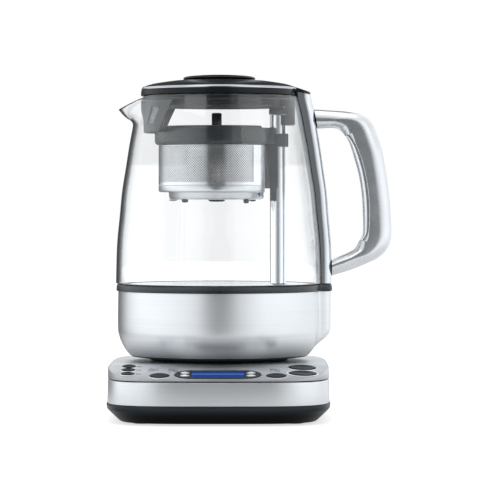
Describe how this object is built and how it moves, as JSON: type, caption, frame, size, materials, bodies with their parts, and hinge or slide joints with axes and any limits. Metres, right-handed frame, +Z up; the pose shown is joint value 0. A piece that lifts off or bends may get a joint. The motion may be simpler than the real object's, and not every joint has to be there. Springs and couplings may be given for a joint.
{
  "type": "automatic tea maker",
  "caption": "Glass jug with a steel foot and a motor-driven tea basket on an inner post, lifting off a cordless power base with a sloping button panel and display.",
  "frame": {"origin": "middle of the overall box at the underside of the feet; the jug's upright axis is at x -23.65 mm, y +11.35 mm", "axes": "+Z up, -Y the front with the panel, +X the handle side"},
  "size_m": [0.2188, 0.2074, 0.2635],
  "materials": {
    "brushed_steel": "brushed along its length, satin",
    "satin_steel": "satin",
    "mirror_steel": "polished",
    "clear_glass": "clear and polished",
    "slate_plastic": "fine satin",
    "black_plastic": "glossy",
    "black_rubber": "matt",
    "display_glass": "clear",
    "display_blue": "lit from behind",
    "board_green": "lacquered",
    "white_plastic": "satin",
    "brass": "machined"
  },
  "bodies": {
    "power_base": {"base_pan": "black_plastic", "base_band": "brushed_steel", "base_top_panel": "brushed_steel", "foot_front_left": "black_rubber", "foot_front_right": "black_rubber", "foot_back_left": "black_rubber", "foot_back_right": "black_rubber", "cord_gland": "black_rubber", "display_bezel": "slate_plastic", "display_lens": "display_glass", "display_module": "display_blue", "control_board": "board_green", "power_connector": "black_plastic"},
    "swivel_collar": {"connector_collar": "white_plastic"},
    "jug": {"jug_glass": "clear_glass", "jug_shell": "brushed_steel", "jug_seal": "slate_plastic", "heater_plate": "satin_steel", "heating_element": "satin_steel", "jug_base_cover": "black_plastic", "jug_connector": "white_plastic", "handle_strap": "satin_steel", "strap_cap": "black_plastic", "handle_loop": "satin_steel", "handle_lining": "slate_plastic", "guide_post": "satin_steel", "post_cap": "slate_plastic", "lift_motor": "satin_steel"},
    "lift_screw": {"lead_screw": "satin_steel", "screw_gear": "white_plastic"},
    "lift_pinion": {"motor_pinion": "brass"},
    "lift_carriage": {"magnet_carriage": "slate_plastic"},
    "basket": {"basket_rim": "slate_plastic", "basket_wall": "mirror_steel", "basket_floor": "mirror_steel", "basket_slider": "slate_plastic", "slider_magnet": "satin_steel"},
    "basket_cover": {"basket_lid": "slate_plastic", "basket_lid_knob": "black_plastic"},
    "lid": {"lid_cover": "black_plastic", "lid_trim_ring": "mirror_steel", "lid_knob": "black_plastic", "lid_skirt": "slate_plastic", "lid_gasket": "black_rubber", "spout_filter": "slate_plastic", "spout_filter_mesh": "mirror_steel", "lid_rear_arm": "slate_plastic"},
    "button_left_back": {"button_left_back": "slate_plastic"},
    "button_left_middle": {"button_left_middle": "slate_plastic"},
    "button_left_front": {"button_left_front": "slate_plastic"},
    "button_round_left": {"button_round_left": "slate_plastic"},
    "button_round_right": {"button_round_right": "slate_plastic"},
    "button_oval_front": {"button_oval_front": "slate_plastic"},
    "button_oval_back": {"button_oval_back": "slate_plastic"},
    "button_up_left": {"button_up_left": "satin_steel"},
    "button_down_left": {"button_down_left": "satin_steel"},
    "button_up_right": {"button_up_right": "satin_steel"},
    "button_down_right": {"button_down_right": "satin_steel"}
  },
  "joints": [
    {"name": "jug_swivel", "type": "hinge", "parent": "power_base", "child": "swivel_collar", "pos_m": [-0.02365, 0.01135, 0.0431], "axis": [0, 0, 1], "continuous": true},
    {"name": "jug_lift", "type": "slide", "parent": "swivel_collar", "child": "jug", "axis": [0, 0, 1], "range_m": [0, 0.12]},
    {"name": "lid_lift", "type": "slide", "parent": "jug", "child": "lid", "axis": [0, 0, 1], "range_m": [0, 0.06]},
    {"name": "basket_lift", "type": "slide", "parent": "jug", "child": "basket", "axis": [0, 0, 1], "range_m": [-0.06, 0]},
    {"name": "basket_cover_lift", "type": "slide", "parent": "basket", "child": "basket_cover", "axis": [0, 0, 1], "range_m": [0, 0.012]},
    {"name": "carriage_slide", "type": "slide", "parent": "jug", "child": "lift_carriage", "axis": [0, 0, 1], "range_m": [-0.06, 0]},
    {"name": "screw_spin", "type": "hinge", "parent": "jug", "child": "lift_screw", "pos_m": [0.02175, 0.01135, 0.15], "axis": [0, 0, 1], "range_deg": [-1800, 0]},
    {"name": "pinion_spin", "type": "hinge", "parent": "jug", "child": "lift_pinion", "pos_m": [0.02175, 0.02515, 0.085], "axis": [0, 0, 1], "range_deg": [0, 4050]},
    {"name": "button_left_back_press", "type": "slide", "parent": "power_base", "child": "button_left_back", "axis": [0, -0.1736, 0.9848], "range_m": [-0.001, 0], "stiffness_N_per_m": 400, "springref_m": 0.0008},
    {"name": "button_left_middle_press", "type": "slide", "parent": "power_base", "child": "button_left_middle", "axis": [0, -0.1736, 0.9848], "range_m": [-0.001, 0], "stiffness_N_per_m": 400, "springref_m": 0.0008},
    {"name": "button_left_front_press", "type": "slide", "parent": "power_base", "child": "button_left_front", "axis": [0, -0.1736, 0.9848], "range_m": [-0.001, 0], "stiffness_N_per_m": 400, "springref_m": 0.0008},
    {"name": "button_round_left_press", "type": "slide", "parent": "power_base", "child": "button_round_left", "axis": [0, -0.1736, 0.9848], "range_m": [-0.001, 0], "stiffness_N_per_m": 400, "springref_m": 0.0008},
    {"name": "button_round_right_press", "type": "slide", "parent": "power_base", "child": "button_round_right", "axis": [0, -0.1736, 0.9848], "range_m": [-0.001, 0], "stiffness_N_per_m": 400, "springref_m": 0.0008},
    {"name": "button_oval_front_press", "type": "slide", "parent": "power_base", "child": "button_oval_front", "axis": [0, -0.1736, 0.9848], "range_m": [-0.001, 0], "stiffness_N_per_m": 400, "springref_m": 0.0008},
    {"name": "button_oval_back_press", "type": "slide", "parent": "power_base", "child": "button_oval_back", "axis": [0, -0.1736, 0.9848], "range_m": [-0.001, 0], "stiffness_N_per_m": 400, "springref_m": 0.0008},
    {"name": "button_up_left_press", "type": "slide", "parent": "power_base", "child": "button_up_left", "axis": [0, -0.1736, 0.9848], "range_m": [-0.001, 0], "stiffness_N_per_m": 400, "springref_m": 0.0008},
    {"name": "button_down_left_press", "type": "slide", "parent": "power_base", "child": "button_down_left", "axis": [0, -0.1736, 0.9848], "range_m": [-0.001, 0], "stiffness_N_per_m": 400, "springref_m": 0.0008},
    {"name": "button_up_right_press", "type": "slide", "parent": "power_base", "child": "button_up_right", "axis": [0, -0.1736, 0.9848], "range_m": [-0.001, 0], "stiffness_N_per_m": 400, "springref_m": 0.0008},
    {"name": "button_down_right_press", "type": "slide", "parent": "power_base", "child": "button_down_right", "axis": [0, -0.1736, 0.9848], "range_m": [-0.001, 0], "stiffness_N_per_m": 400, "springref_m": 0.0008}
  ],
  "couplings": [
    {"joint": "carriage_slide", "follows": "basket_lift", "ratio": 1},
    {"joint": "screw_spin", "follows": "basket_lift", "rad_per_m": 523.59},
    {"joint": "pinion_spin", "follows": "basket_lift", "rad_per_m": -1178.1}
  ]
}
